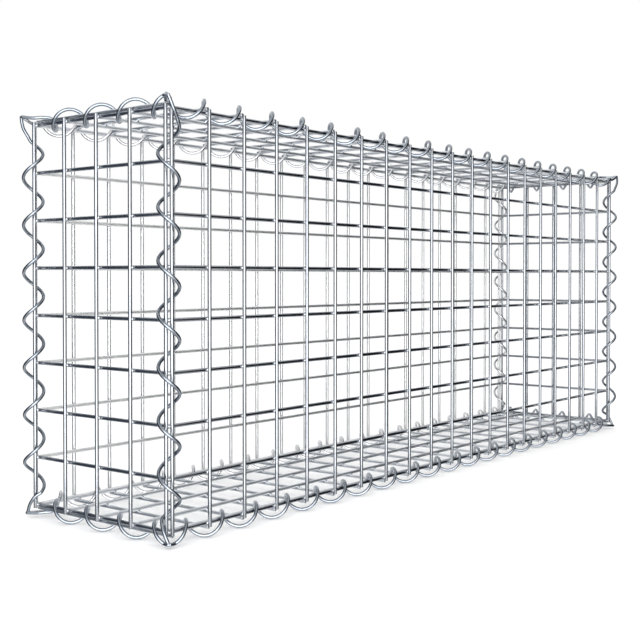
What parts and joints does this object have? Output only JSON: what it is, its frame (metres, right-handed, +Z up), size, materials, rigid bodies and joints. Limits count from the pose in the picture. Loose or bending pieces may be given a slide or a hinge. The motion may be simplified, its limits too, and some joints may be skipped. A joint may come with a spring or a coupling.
{
  "type": "gabion basket",
  "caption": "Long narrow closed box of square welded wire mesh, laced along every edge by spiral wires, to be filled with stones as a low wall.",
  "frame": {"origin": "centre of the outline at ground level, under the lowest turns of the bottom spirals", "axes": "+X along the basket towards its right end, +Y through its depth towards the back, +Z up"},
  "size_m": [1.0304, 0.2306, 0.4283],
  "materials": {
    "mesh_wire": "bright zinc-coated round wire",
    "spiral_wire": "bright zinc-coated round wire, slightly darker"
  },
  "bodies": {
    "root": {"back_left_spiral": "spiral_wire", "back_rails": "mesh_wire", "back_right_spiral": "spiral_wire", "back_uprights": "mesh_wire", "base_back_spiral": "spiral_wire", "base_cross_wires": "mesh_wire", "base_front_spiral": "spiral_wire", "base_left_spiral": "spiral_wire", "base_long_wires": "mesh_wire", "base_right_spiral": "spiral_wire", "front_left_spiral": "spiral_wire", "front_rails": "mesh_wire", "front_right_spiral": "spiral_wire", "front_uprights": "mesh_wire", "left_end_rails": "mesh_wire", "left_end_uprights": "mesh_wire", "lid_back_spiral": "spiral_wire", "lid_cross_wires": "mesh_wire", "lid_front_spiral": "spiral_wire", "lid_left_spiral": "spiral_wire", "lid_long_wires": "mesh_wire", "lid_right_spiral": "spiral_wire", "right_end_rails": "mesh_wire", "right_end_uprights": "mesh_wire"}
  },
  "joints": []
}
